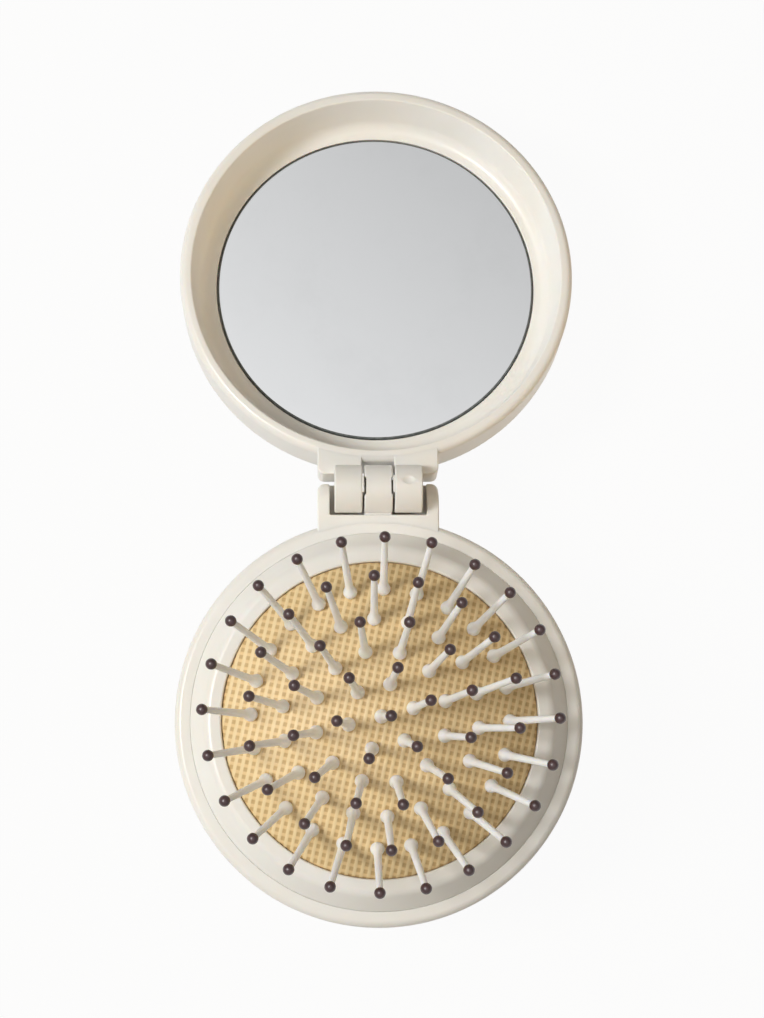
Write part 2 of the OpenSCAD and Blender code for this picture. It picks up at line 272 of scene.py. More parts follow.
class StudioSetup(bpy.types.PropertyGroup):
    """Light and background."""

    lens: amount("Lens", "Focal length in millimetres", 78.474, 1)
    distance: mm("Distance", "From the camera to its target", 386.82)
    target: place_at("Target", "What the camera looks at", (0.00069, -0.00322, 0.02))
    tilt: degrees("Tilt", "Turn of the camera about its own width", 8.804)
    yaw: degrees("Yaw", "Sideways turn of the camera", -1.614)
    roll: degrees("Roll", "Turn of the camera about the vertical", -0.302)
    key: amount("Key", "Power of the key lamp", 5.8, unit="POWER")
    key_size: mm("Key size", "Diameter of the key lamp", 320)
    key_place: place_at("Key place", "Where the key lamp hangs", (-0.67, -0.04, 0.75))
    glint: amount("Glint", "Power of the lamp that only gloss shows", 5.0, unit="POWER")
    glint_size: mm("Glint size", "Diameter of that lamp", 200)
    glint_place: place_at("Glint place", "Where that lamp hangs", (-0.40, 0.03, 0.915))
    lid_fill: amount("Lid fill", "Power of the spot that opens the lid's shade", 1.9, unit="POWER")
    lid_fill_size: mm("Lid fill size", "Radius of that spot lamp", 40)
    lid_fill_cone: degrees("Lid fill cone", "Width of its cone", 13)
    lid_fill_blend: amount("Lid fill blend", "Share of the cone that fades out", 0.7)
    lid_fill_place: place_at("Lid fill place", "Where it hangs", (0.31, -0.11, 0.14))
    lid_fill_target: place_at("Lid fill target", "Where it points", (-0.012, 0.044, 0.015))
    lid_fill_tint: tint("Lid fill tint", "Colour of that spot", (1.0, 0.73, 0.38))
    white: amount("White", "Share of plain white in the floor, up to 1", 0.95)
    above: amount("Above", "Strength of the soft light from above", 0.50)
    above_tint: tint("Above tint", "Colour of the soft light from above", (1.0, 0.90, 0.76))
    beside: amount("Beside", "Strength of the soft light from the left", 0.38)
    beside_tint: tint("Beside tint", "Colour of the soft light from the left", (0.80, 0.95, 1.0))
    floor: tint("Floor", "Paint of the floor, as it lights the brush", (0.56, 0.53, 0.48))
    sheen_low: amount("Sheen low", "Darker grey of the sweep that gloss shows", 0.535)
    sheen_high: amount("Sheen high", "Lighter grey of that sweep", 0.90)


GROUPS = {
    "brush_case": CaseSizes,
    "brush_hinge": HingeSizes,
    "brush_lid": LidSizes,
    "brush_cushion": CushionSizes,
    "brush_bristles": BristleSizes,
    "brush_finishes": Finishes,
    "brush_studio": StudioSetup,
}


# ---------------------------------------------------------------- materials


class Wire:
    """An output socket of a node tree. Expressions on it add Math nodes."""

    def __init__(self, tree, socket=None):
        self.tree = tree
        self.socket = socket

    def node(self, kind, inputs=None, out=0, **settings):
        """Adds one node, with its settings first and then its sockets' values or links."""
        made = self.tree.nodes.new(kind)
        for name, value in settings.items():
            setattr(made, name, value)
        for key, value in (inputs or {}).items():
            if isinstance(value, Wire):
                self.tree.links.new(value.socket, made.inputs[key])
            else:
                made.inputs[key].default_value = value
        return Wire(self.tree, made.outputs[out])

    def send(self, kind):
        """Links this to a new output node."""
        self.tree.links.new(self.socket, self.tree.nodes.new(kind).inputs[0])

    def maths(self, operation, *values):
        """One Math node on these values."""
        return self.node("ShaderNodeMath", dict(enumerate(values)), operation=operation)

    def of(self, operation, *others):
        """One Math node on this value and then the others."""
        return self.maths(operation, self, *others)

    def __add__(self, other):
        return self.of("ADD", other)

    def __sub__(self, other):
        return self.of("SUBTRACT", other)

    def __rsub__(self, other):
        return self.maths("SUBTRACT", other, self)

    def __mul__(self, other):
        return self.of("MULTIPLY", other)

    def __truediv__(self, other):
        return self.of("DIVIDE", other)

    def __rtruediv__(self, other):
        return self.maths("DIVIDE", other, self)

    def smooth(self, low, high):
        """0 under low and 1 over high, with a soft step between them."""
        inputs = {0: self, 1: low, 2: high}
        return self.node("ShaderNodeMapRange", inputs, interpolation_type="SMOOTHSTEP")

    def blend(self, first, second):
        """The colour first where this is 0, and second where it is 1."""
        inputs = {"Factor": self, 6: full(first), 7: full(second)}
        return self.node("ShaderNodeMix", inputs, 2, data_type="RGBA")

    def split(self):
        """The three parts of this vector."""
        parts = self.node("ShaderNodeSeparateXYZ", {0: self})
        return [Wire(self.tree, socket) for socket in parts.socket.node.outputs]


def full(colour):
    """A colour with its alpha, or the wire that brings one."""
    return colour if isinstance(colour, Wire) else (*colour, 1.0)


def cleared(owner):
    """The emptied node tree of a material or a world, as a wire."""
    owner.use_nodes = True
    owner.node_tree.nodes.clear()
    return Wire(owner.node_tree)


def finish(recipe, looks):
    """A material with one Principled shader. The recipe gets the object's own coordinates as a
    wire and says what goes into the shader's sockets."""
    material = bpy.data.materials.new(recipe.__name__.replace("_", " "))
    wire = cleared(material)
    inputs = recipe(wire.node("ShaderNodeTexCoord", out=3), looks)
    wire.node("ShaderNodeBsdfPrincipled", inputs).send("ShaderNodeOutputMaterial")
    return material


def clouds(place, scale, detail=3.0, roughness=0.5, twist=0.0):
    """Soft noise around 0.5. Scale counts cells in a metre."""
    return place.node(
        "ShaderNodeTexNoise",
        {"Vector": place, "Scale": scale, "Detail": detail, "Roughness": roughness, "Distortion": twist},
    )


def bump(height, distance, strength):
    """A normal from a height."""
    return height.node("ShaderNodeBump", {"Strength": strength, "Distance": distance, "Height": height})


def shade(colour, share):
    """A colour times a share."""
    return tuple(part * share for part in colour)


def ivory_plastic(place, looks):
    drift = clouds(place, 45.0, 2.0).smooth(0.35, 0.7)
    skin = clouds(place, 2600.0, 2.0)
    flow = clouds(place, 160.0, 4.0, 0.6)
    scuffs = clouds(place, 900.0, 6.0, 0.75, 1.5).smooth(0.6, 0.8)
    return {
        "Base Color": drift.blend(looks.ivory, looks.ivory_deep),
        "Roughness": flow * 0.12 + scuffs * 0.10 + 0.30,
        "Normal": bump(skin * 0.4 + flow * 0.6, 0.00002, 0.5),
        "IOR": 1.49,
        "Subsurface Weight": 0.15,
        "Subsurface Radius": (1.0, 0.6, 0.35),
        "Subsurface Scale": 0.0012,
        "Coat Weight": 0.12,
        "Coat Roughness": 0.18,
    }


def white_nylon(place, looks):
    cloudy = clouds(place, 350.0, 2.0)
    skin = clouds(place, 3500.0, 2.0)
    return {
        "Base Color": cloudy.smooth(0.3, 0.75).blend(looks.nylon, shade(looks.nylon, 0.95)),
        "Roughness": cloudy * 0.15 + 0.34,
        "Normal": bump(skin, 0.00001, 0.5),
        "IOR": 1.53,
        "Subsurface Weight": 0.5,
        "Subsurface Radius": (1.0, 0.8, 0.55),
        "Subsurface Scale": 0.0015,
    }


def brown_tip(place, looks):
    cloudy = clouds(place, 700.0, 3.0)
    return {
        "Base Color": cloudy.smooth(0.3, 0.75).blend(looks.tip, shade(looks.tip, 1.5)),
        "Roughness": cloudy * 0.12 + 0.32,
        "Normal": bump(clouds(place, 5000.0, 2.0), 0.00001, 0.4),
        "IOR": 1.75,
    }


def woven_cover(place, looks):
    sizes = looks.id_data.brush_cushion
    turned = place.node(
        "ShaderNodeMapping",
        {"Vector": place, "Rotation": (0.0, 0.0, sizes.turn), "Scale": (1.0 / sizes.pitch,) * 3},
    )
    u, v, _ = turned.split()
    slub = clouds(place, 260.0, 2.0) * 0.16 - 0.08
    warp = ((u + slub) * math.tau).of("COSINE") * 0.5 + 0.5
    weft = ((v + slub) * math.tau).of("COSINE") * 0.5 + 0.5
    warp_on = warp.smooth(0.25, 0.80)
    weft_on = weft.smooth(0.30, 0.85)
    over = (u * math.pi).of("COSINE") * (v * math.pi).of("COSINE") * 0.5 + 0.5
    # Where neither thread lies, the cloth takes the pit colour, which is painted shade between the
    # threads.
    threads = warp_on.blend(weft_on.blend(looks.pit, looks.weft), looks.warp)
    tone = clouds(place, 420.0, 3.0, 0.6)
    patches = clouds(place, 60.0, 2.0)
    aged = (tone * 0.5 + patches * 0.5).smooth(0.3, 0.7)
    inputs = {"Factor": 1.0, 6: threads, 7: aged.blend(WORN, WHITE)}
    dyed = aged.node("ShaderNodeMix", inputs, 2, data_type="RGBA", blend_type="MULTIPLY")
    fibres = clouds(turned, 9.0, 4.0, 0.7, 0.4)
    return {
        "Base Color": dyed,
        "Roughness": fibres * 0.2 + over * 0.08 + 0.34,
        "Normal": bump(fibres * 0.5 + warp_on * 0.6, 0.00005, 0.6),
        "Sheen Weight": 0.15,
        "Sheen Roughness": 0.4,
    }


def silvered_glass(place, looks):
    smudges = clouds(place, 70.0, 5.0, 0.65).smooth(0.45, 0.8)
    return {
        "Base Color": smudges.blend(looks.silver, shade(looks.silver, 0.97)),
        "Metallic": 1.0,
        "Roughness": smudges * 0.05 + 0.02,
        "Normal": bump(clouds(place, 25.0, 1.0), 0.000004, 0.3),
    }


def glass_edge(place, looks):
    chips = clouds(place, 1500.0, 3.0)
    return {
        "Base Color": chips.smooth(0.3, 0.7).blend(EDGE_DARK, EDGE_LIGHT),
        "Roughness": chips * 0.2 + 0.25,
        "Normal": bump(chips, 0.00001, 0.3),
        "IOR": 1.52,
    }


def foam_pad(place, looks):
    cells = place.node("ShaderNodeTexVoronoi", {"Vector": place, "Scale": 2200.0})
    return {
        "Base Color": cells.smooth(0.0, 0.6).blend(FOAM_DARK, FOAM_LIGHT),
        "Roughness": cells * 0.1 + 0.8,
        "Normal": bump(cells, 0.00005, 0.7),
    }


RECIPES = {
    "ivory": ivory_plastic,
    "nylon": white_nylon,
    "tip": brown_tip,
    "woven": woven_cover,
    "silver": silvered_glass,
    "edge": glass_edge,
    "foam": foam_pad,
}
MADE = {}


def looks_of(scene):
    """The materials of this scene, made once."""
    if not MADE:
        for name, recipe in RECIPES.items():
            MADE[name] = finish(recipe, scene.brush_finishes)
    return MADE


# ---------------------------------------------------------------- shapes


def soften(corners, steps=6):
    """A closed outline with rounded corners, from (x, y, radius) corners."""
    points = []
    count = len(corners)
    for index, (x, y, radius) in enumerate(corners):
        here = Vector((x, y))
        before = Vector(corners[index - 1][:2]) - here
        after = Vector(corners[(index + 1) % count][:2]) - here
        if radius <= 0 or before.length == 0 or after.length == 0:
            points.append(here)
            continue
        half = before.angle(after) / 2
        run = radius / math.tan(half)
        start = here + before.normalized() * run
        end = here + after.normalized() * run
        middle = (before.normalized() + after.normalized()).normalized()
        centre = here + middle * (radius / math.sin(half))
        first = start - centre
        sweep = first.angle_signed(end - centre)
        for step in range(steps + 1):
            turn = Matrix.Rotation(-sweep * step / steps, 2)
            points.append(centre + turn @ first)
    return points


def arc(x, y, radius, start, end, steps=16):
    """Points on an arc from start to end degrees."""
    return [
        Vector((x + radius * math.cos(math.radians(a)), y + radius * math.sin(math.radians(a))))
        for a in (start + (end - start) * s / steps for s in range(steps + 1))
    ]


def circle(radius, steps=48):
    """Points around a circle."""
    return arc(0, 0, radius, 0, 360 - 360 / steps, steps - 1)


def lathe(mesh, outline, steps=192):
    """Turns an outline of (radius, height) about Z. Points on the axis become poles."""
    rings = []
    for radius, height in outline:
        if radius < 1e-7:
            rings.append([mesh.verts.new((0, 0, height))])
        else:
            rings.append(
                [
                    mesh.verts.new((radius * math.cos(a), radius * math.sin(a), height))
                    for a in (math.tau * s / steps for s in range(steps))
                ]
            )
    for low, high in zip(rings, rings[1:] + rings[:1]):
        if len(low) == 1 and len(high) == 1:
            continue
        for s in range(steps):
            t = (s + 1) % steps
            if len(low) == 1:
                mesh.faces.new((low[0], high[t], high[s]))
            elif len(high) == 1:
                mesh.faces.new((low[s], low[t], high[0]))
            else:
                mesh.faces.new((low[s], low[t], high[t], high[s]))


def slab(mesh, outline, along, start, end, edge=0.0):
    """A slab between two parallel copies of an outline, with its rims rounded by edge.
    Along maps (a, b, depth) to a place."""
    part = bmesh.new()
    loops = [[part.verts.new(along(a, b, depth)) for a, b in outline] for depth in (start, end)]
    caps = [part.faces.new(loop) for loop in loops]
    for s in range(len(outline)):
        t = (s + 1) % len(outline)
        part.faces.new((loops[0][s], loops[0][t], loops[1][t], loops[1][s]))
    bmesh.ops.recalc_face_normals(part, faces=part.faces)
    if edge:
        rims = {e for cap in caps for e in cap.edges}
        options = {"segments": 3, "profile": 0.5, "affect": "EDGES", "clamp_overlap": True}
        bmesh.ops.bevel(part, geom=list(rims), offset=edge, **options)
    pour(part, mesh)


def stack(mesh, outlines):
    """A solid through outlines of equal count, each with its height. The first and last are capped."""
    loops = [[mesh.verts.new((x, y, height)) for x, y in outline] for outline, height in outlines]
    mesh.faces.new(loops[0])
    mesh.faces.new(loops[-1])
    for low, high in zip(loops, loops[1:]):
        for s in range(len(low)):
            t = (s + 1) % len(low)
            mesh.faces.new((low[s], low[t], high[t], high[s]))


def across(a, b, depth):
    """Places a side view: a is +Y, b is +Z and depth is +X."""
    return (depth, a, b)


def upright(a, b, depth):
    """Places a plan view: a is +X, b is +Y and depth is +Z."""
    return (a, b, depth)


def shape(mesh, name, materials, place=None, sharp=32.0):
    """Writes a mesh as an object at the origin, smooth but for its sharp edges."""
    if place is not None:
        bmesh.ops.transform(mesh, matrix=place, verts=mesh.verts)
    bmesh.ops.recalc_face_normals(mesh, faces=mesh.faces)
    data = bpy.data.meshes.new(name)
    mesh.to_mesh(data)
    mesh.free()
    for material in materials:
        data.materials.append(material)
    data.shade_smooth()
    data.set_sharp_from_angle(angle=math.radians(sharp))
    piece = bpy.data.objects.new(name, data)
    bpy.context.scene.collection.objects.link(piece)
    piece.modifiers.new("even", "WEIGHTED_NORMAL").keep_sharp = True
    settle(piece)
    return piece


def settle(piece):
    """Turns what the modifiers make into the piece's own mesh."""
    graph = bpy.context.evaluated_depsgraph_get()
    solid = piece.evaluated_get(graph)
    made = bpy.data.meshes.new_from_object(solid, preserve_all_data_layers=True, depsgraph=graph)
    piece.modifiers.clear()
    piece.data = made


def pour(part, mesh):
    """Adds a part to a mesh."""
    scratch = bpy.data.meshes.new("scratch")
    part.to_mesh(scratch)
    part.free()
    mesh.from_mesh(scratch)
    bpy.data.meshes.remove(scratch)


def carve(part, *cutters):
    """Takes the cutters away from a part."""
    made = []
    for mesh in (part, *cutters):
        bmesh.ops.recalc_face_normals(mesh, faces=mesh.faces)
        data = bpy.data.meshes.new("scratch")
        mesh.to_mesh(data)
        solid = bpy.data.objects.new("scratch", data)
        bpy.context.scene.collection.objects.link(solid)
        made.append(solid)
    for cutter in made[1:]:
        modifier = made[0].modifiers.new("cut", "BOOLEAN")
        modifier.operation = "DIFFERENCE"
        modifier.solver = "EXACT"
        modifier.object = cutter
    settle(made[0])
    part.clear()
    part.from_mesh(made[0].data)
    for mesh in cutters:
        mesh.free()
    for solid in made:
        bpy.data.objects.remove(solid)


def dress(node, material):
    """Gives a CAD node's slots a better material."""
    for slot in frame["nodes"][node].material_slots:
        slot.material = material


def brush_middle(scene):
    """Moves a shape from the middle of the rim plane to its place."""
    return Matrix.Translation((0, -HINGE_D, scene.brush_case.height))


def lid_lean():
    """Moves a shape from the hinge line of the level lid to its place on the open lid."""
    return Matrix.Translation(HINGE) @ Matrix.Rotation(LID_LEAN, 4, "X")


def lid_middle(scene):
    """Moves a shape from the middle of the level lid's mouth to its place on the open lid."""
    top = scene.brush_case.height - HINGE.z
    return lid_lean() @ Matrix.Translation((0, HINGE_D, top))


def rim_reach(x, radius):
    """Distance from the hinge line to a circle about a half's middle, at the sideways place x."""
    return HINGE_D - math.sqrt(radius * radius - x * x)


# ---------------------------------------------------------------- hinge and necks


def rooted(radius, rounding):
    """Where a neck starts, just past the start of its rim's rounding, and how deep that lies."""
    return radius - rounding + ROOT, rounding - math.sqrt(rounding**2 - ROOT**2)


def neck_outline(half, window, end, throat, seat, way, inset=0.0):
    """A neck in plan: a U that opens towards the other half and ends on an arc inside its own wall.
    The way is 1 on the brush half and -1 on the lid, and end and throat count towards the other
    half. A window wider than the neck leaves a plain block."""
    half -= inset
    window += inset
    end = way * (end - inset)
    throat = way * (throat - inset)
    corner = NECK_CORNER - inset / 2
    sideways = [half * s / WALL_STEPS for s in range(WALL_STEPS, -WALL_STEPS - 1, -1)]
    wall = [(x, -way * rim_reach(x, seat), 0) for x in sideways]
    block = [(half, end, corner), *wall, (-half, end, corner)]
    if window > half:
        return soften(block)
    right = [(window, throat, NICK), (window, end, NICK)]
    left = [(-window, end, NICK), (-window, throat, NICK)]
    return soften([*right, *block, *left])


def levels(low, high, edge, between=()):
    """Heights from low to high, each with the inset that rounds the first and last edge."""
    bends = [edge * (1 - math.cos(math.radians(a))) for a in (0, 30, 60, 90)]
    heights = [low + b for b in bends] + list(between) + [high - b for b in reversed(bends)]
    for height in sorted(heights):
        sunk = max(0.0, edge - min(height - low, high - height))
        yield height, edge - math.sqrt(edge * edge - sunk * sunk)


def knuckle_outline(radius, top, reach, way):
    """A knuckle in side view with the bar that joins it to its neck, towards -Y where the way is 1."""
    drop = math.degrees(math.asin(top / radius))
    around = arc(0, 0, radius, 270, drop, 40)
    return [Vector((-way * a, b)) for a, b in [*around, (reach, top), (reach, -radius)]]


def brush_neck(mesh, case, hinge):
    """The neck of the brush half, with its two ears and the tongue, drawn from the hinge line."""
    seat, drop = rooted(case.radius, case.rim_round)
    top = case.height - HINGE.z - drop
    low = top - hinge.depth
    window = hinge.neck - hinge.ear
    spring = top - EAR_ROUND
    bends = [spring + EAR_ROUND * math.sin(math.radians(a)) for a in EAR_BENDS]
    outlines = []
    for height, inset in levels(low, top, hinge.edge, bends):
        rise = max(0.0, height - spring)
        end = EAR_END - EAR_ROUND + math.sqrt(EAR_ROUND**2 - rise**2)
        outlines.append((neck_outline(hinge.neck, window, end, -THROAT, seat, 1, inset), height))
    stack(mesh, outlines)
    floor = [
        (neck_outline(hinge.neck - HAIR, hinge.neck, EAR_END - HAIR, 0, seat, 1, inset), height)
        for height, inset in levels(low + HAIR, low + POCKET, hinge.edge)
    ]
    stack(mesh, floor)
    tongue = bmesh.new()
    outline = knuckle_outline(hinge.knuckle, top - BAR_DROP, THROAT + BAR_ROOT, 1)
    slab(tongue, outline, across, -hinge.tongue, hinge.tongue, hinge.edge)
    bore = bmesh.new()
    slab(bore, circle(hinge.pivot + PIVOT_PLAY), across, -hinge.leaf_in, hinge.leaf_in)
    waists = [bmesh.new(), bmesh.new()]
    for side, waist in zip((-1, 1), waists):
        corners = [(hinge.tongue + past, WAIST_HALF + past) for past in (-WAIST, WAIST_PAST)]
        plan = [(side * x, y) for x, y in corners] + [(side * x, -y) for x, y in reversed(corners)]
        slab(waist, plan, upright, 0, hinge.knuckle * 1.2)
    carve(tongue, bore, *waists)
    pour(tongue, mesh)


def lid_neck(mesh, top, case, lid, hinge):
    """The neck of the level lid, with its two leaves and the pivots, drawn from the hinge line."""
    seat, drop = rooted(case.radius, lid.rim_round)
    top -= drop
    outlines = []
    for height, inset in levels(top - hinge.depth, top, hinge.edge):
        outline = neck_outline(hinge.neck, hinge.leaf_in, -BLOCK, -NOTCH, seat, -1, inset)
        outlines.append((outline, height))
    stack(mesh, outlines)
    outline = knuckle_outline(hinge.knuckle, top - BAR_DROP, hinge.knuckle + BAR_ROOT, -1)
    pad = arc(0, 0, hinge.knuckle - PAD_SUNK, 90 - PAD_TURN, 90 + PAD_TURN, 8)
    pad = [(pad[-1].x, PAD_FOOT), (pad[0].x, PAD_FOOT), *pad]
    for side in (-1, 1):
        leaf = bmesh.new()
        slab(leaf, outline, across, side * hinge.leaf_in, side * hinge.leaf_out, hinge.edge)
        if side > 0:
            dimple = bmesh.new()
            bmesh.ops.create_icosphere(dimple, subdivisions=5, radius=DIMPLE_R)
            middle = ((hinge.leaf_in + hinge.leaf_out) / 2, DIMPLE_SHIFT, hinge.knuckle + DIMPLE_LIFT)
            bmesh.ops.translate(dimple, verts=dimple.verts, vec=middle)
            carve(leaf, dimple)
        pour(leaf, mesh)
        sunk = side * (hinge.leaf_in + PAD_SUNK)
        slab(mesh, pad, across, sunk, side * (hinge.leaf_in - PAD), PAD_ROUND)
        slab(mesh, circle(hinge.pivot), across, side * hinge.tongue / 2, sunk)


# ---------------------------------------------------------------- cushion and bristles


def dome_ball(sizes):
    """Radius of the ball that the cushion's dome is a part of."""
    return (sizes.radius**2 + sizes.dome**2) / (2 * sizes.dome)


def weave(x, y, sizes):
    """How high the cloth stands at a place, 0 in the pits and 1 on the light threads."""
    cosine, sine = math.cos(sizes.turn), math.sin(sizes.turn)
    u = (x * cosine - y * sine) / sizes.pitch
    v = (x * sine + y * cosine) / sizes.pitch
    warp = 0.5 + 0.5 * np.cos(math.tau * u)
    weft = 0.5 + 0.5 * np.cos(math.tau * v)
    fullness, weft_share = 0.8, 0.8
    return np.maximum(warp**fullness, weft_share * weft**fullness)


def cushion_mesh(sizes, height):
    """A fine square grid bent to a disc, domed and woven, with a skirt and a flat underside."""
    steps = 296
    side = np.linspace(-1, 1, steps + 1)
    a, b = np.meshgrid(side, side)
    wide = np.abs(a) >= np.abs(b)
    reach = np.where(wide, a, b)
    safe = np.where(reach == 0, 1, reach)
    turn = np.where(wide, math.pi / 4 * b / safe, math.pi / 2 - math.pi / 4 * a / safe)
    x = sizes.radius * reach * np.cos(turn)
    y = sizes.radius * reach * np.sin(turn)
    out = np.hypot(x, y)
    ball = dome_ball(sizes)
    lift = np.sqrt(ball**2 - out**2) - (ball - sizes.dome)
    roll = 0.6 * MM
    past = np.clip(out - (sizes.radius - roll), 0, roll)
    fall = roll - np.sqrt(roll**2 - past**2)
    dome_level = 0.7
    yarns = sizes.relief * (weave(x, y - HINGE_D, sizes) - dome_level)
    z = height + sizes.edge + lift - fall + yarns
    points = np.stack([x, y - HINGE_D, z], axis=-1).reshape(-1, 3).tolist()
    row = steps + 1
    corners = (j * row + i for j in range(steps) for i in range(steps))
    faces = [(n, n + 1, n + row + 1, n + row) for n in corners]
    forth, back = range(steps), range(steps, 0, -1)
    rim = [*forth, *(j * row + steps for j in forth)]
    rim += [*(steps * row + i for i in back), *(j * row for j in back)]
    foot = [len(points) + n for n in range(len(rim))]
    points += [(points[n][0], points[n][1], height + sizes.seat) for n in rim]
    for n in range(len(rim)):
        t = (n + 1) % len(rim)
        faces.append((rim[n], foot[n], foot[t], rim[t]))
    faces.append(tuple(foot))
    return points, faces


def bristle_field():
    """Geometry nodes: plants the incoming shape in rings on a dome.
    Each ring has six more than the one inside it."""
    tree = bpy.data.node_groups.new("bristle field", "GeometryNodeTree")
    kinds = {"Shape": "Geometry", "Rings": "Int"}
    for name in ("Pitch", "Lean", "Ball", "Crown", "Scatter", "Centre lean", "Centre turn", *TURNS):
        kinds[name] = "Float"
    kinds |= {"Seed": "Int", "Middle": "Vector", "Material": "Material"}
    for name, kind in kinds.items():
        tree.interface.new_socket(name, in_out="INPUT", socket_type="NodeSocket" + kind)
    tree.interface.new_socket("Bristles", in_out="OUTPUT", socket_type="NodeSocketGeometry")
    entry = tree.nodes.new("NodeGroupInput")
    got = {socket.name: Wire(tree, socket) for socket in entry.outputs if socket.name}
    wire = Wire(tree)
    rings = got["Rings"]
    index = wire.node("GeometryNodeInputIndex")
    ring = (((index * (4 / 3) + 1).of("SQRT") - 1) * 0.5 - 0.001).of("CEIL")
    outer = ring.of("MINIMUM", 1.0)
    place = (index - 1 - ring * (ring - 1) * 3) * outer
    step = math.tau / 6 / ring.of("MAXIMUM", 1.0)
    switch = tree.nodes.new("GeometryNodeIndexSwitch")
    switch.data_type = "FLOAT"
    while len(switch.index_switch_items) < 1 + len(TURNS):
        switch.index_switch_items.new()
    tree.links.new(ring.socket, switch.inputs[0])
    for socket, name in zip(switch.inputs[1:], ("Centre turn", *TURNS)):
        tree.links.new(got[name].socket, socket)
    around = Wire(tree, switch.outputs[0]) + place * step
    polar = ring * got["Pitch"] / got["Ball"]
    reach = polar.of("SINE") * got["Ball"]
    lift = got["Crown"] - got["Ball"] + polar.of("COSINE") * got["Ball"]
    sideways, forwards = reach * around.of("SINE"), reach * around.of("COSINE")
    spot = wire.node("ShaderNodeCombineXYZ", {0: sideways, 1: forwards, 2: lift})
    spot = wire.node("ShaderNodeVectorMath", {0: spot, 1: got["Middle"]}, operation="ADD")
    limits = {"Min": (-1.0, -1.0, -1.0), "Max": (1.0, 1.0, 1.0)}
    stray = wire.node(
        "FunctionNodeRandomValue",
        {**limits, "ID": index, "Seed": got["Seed"]},
        data_type="FLOAT_VECTOR",
    )
    stray, aside, _ = stray.split()
    aside = aside * got["Scatter"] * outer
    lean = ring * got["Lean"] + (1 - outer) * got["Centre lean"] + stray * got["Scatter"] * outer
    turned = wire.node("ShaderNodeCombineXYZ", {0: lean * -1.0, 1: aside, 2: around * -1.0})
    turned = wire.node("FunctionNodeEulerToRotation", {0: turned})
    points = wire.node("GeometryNodePoints", {"Count": rings * (rings + 1) * 3 + 1, "Position": spot})
    inputs = {"Points": points, "Instance": got["Shape"], "Rotation": turned}
    planted = wire.node("GeometryNodeInstanceOnPoints", inputs)
    real = wire.node("GeometryNodeRealizeInstances", {0: planted})
    finished = wire.node("GeometryNodeSetMaterial", {"Geometry": real, "Material": got["Material"]})
    finished.send("NodeGroupOutput")
    return tree


def plant(piece, tree, values):
    """Runs the tree on a piece with those inputs, and keeps the result as its mesh."""
    modifier = piece.modifiers.new("field", "NODES")
    modifier.node_group = tree
    for item in tree.interface.items_tree:
        if item.name in values:
            modifier[item.identifier] = values[item.name]
    settle(piece)


# ---------------------------------------------------------------- operators


class BRUSH_OT_case(bpy.types.Operator):
    """Moulds the brush half: round wall, rim, lip, neck, ears and tongue"""

    bl_idname = "brush.case"
    bl_label = "Brush Half"

    def execute(self, context):
        scene = context.scene
        case = scene.brush_case
        ivory = looks_of(scene)["ivory"]
        mesh = bmesh.new()
        brush_neck(mesh, case, scene.brush_hinge)
        bmesh.ops.translate(mesh, verts=mesh.verts, vec=HINGE)
        wall = bmesh.new()
        outline = [
            (case.bore, -case.height, 0),
            (case.radius, -case.height, FOOT_ROUND),
            (case.radius, 0, case.rim_round),
            (case.lip, 0, FINE_ROUND),
            (case.lip, -case.lip_height, SMALL_ROUND),
            (case.bore, -case.lip_height, 0),
        ]
        lathe(wall, soften(outline, 10))
        bmesh.ops.transform(wall, matrix=brush_middle(scene), verts=wall.verts)
        pour(wall, mesh)
        piece = shape(mesh, "case_moulding", [ivory])
        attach(piece, "brush_half")
        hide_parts("base_shell")
        dress("base_floor", ivory)
        return {"FINISHED"}


class BRUSH_OT_tray(bpy.types.Operator):
    """Turns the tray ring around the cushion and finishes the carrier and the push plate"""

    bl_idname = "brush.tray"
    bl_label = "Tray"

    def execute(self, context):
        scene = context.scene
        case = scene.brush_case
        foot, flange, seat = case.foot, case.flange, case.ring_seat
        outline = [
            (seat, foot, 0),
            (flange, foot, SMALL_ROUND),
            (flange, foot + FLANGE_THICK, SMALL_ROUND),
            (case.ring_radius, foot + FLANGE_THICK, 0),
            (case.ring_radius, case.ring_foot, FINE_ROUND),
            (case.ring_corner, case.ring_height, case.ring_curve),
            (case.ring_inner, case.ring_height, MOUTH_ROUND),
            (case.ring_inner, case.ring_height - RING_DEPTH, 0),
            (seat, case.ring_height - RING_DEPTH, 0),
        ]
        mesh = bmesh.new()
        lathe(mesh, soften(outline, 10))
        piece = shape(mesh, "tray_ring_moulding", [looks_of(scene)["ivory"]], brush_middle(scene))
        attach(piece, "tray")
        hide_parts("tray_ring")
        for node in ("tray_carrier", "push_plate"):
            dress(node, looks_of(scene)["ivory"])
        return {"FINISHED"}


class BRUSH_OT_cushion(bpy.types.Operator):
    """Weaves the cushion's cover over its dome"""

    bl_idname = "brush.cushion"
    bl_label = "Cushion"

    def execute(self, context):
        scene = context.scene
        points, faces = cushion_mesh(scene.brush_cushion, scene.brush_case.height)
        mesh = bpy.data.meshes.new("woven_cushion")
        mesh.from_pydata(points, [], faces)
        mesh.materials.append(looks_of(scene)["woven"])
        mesh.shade_smooth()
        mesh.set_sharp_from_angle(angle=math.radians(60))
        piece = bpy.data.objects.new("woven_cushion", mesh)
        scene.collection.objects.link(piece)
        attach(piece, "tray")
        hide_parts("cushion", "woven_cover")
        return {"FINISHED"}


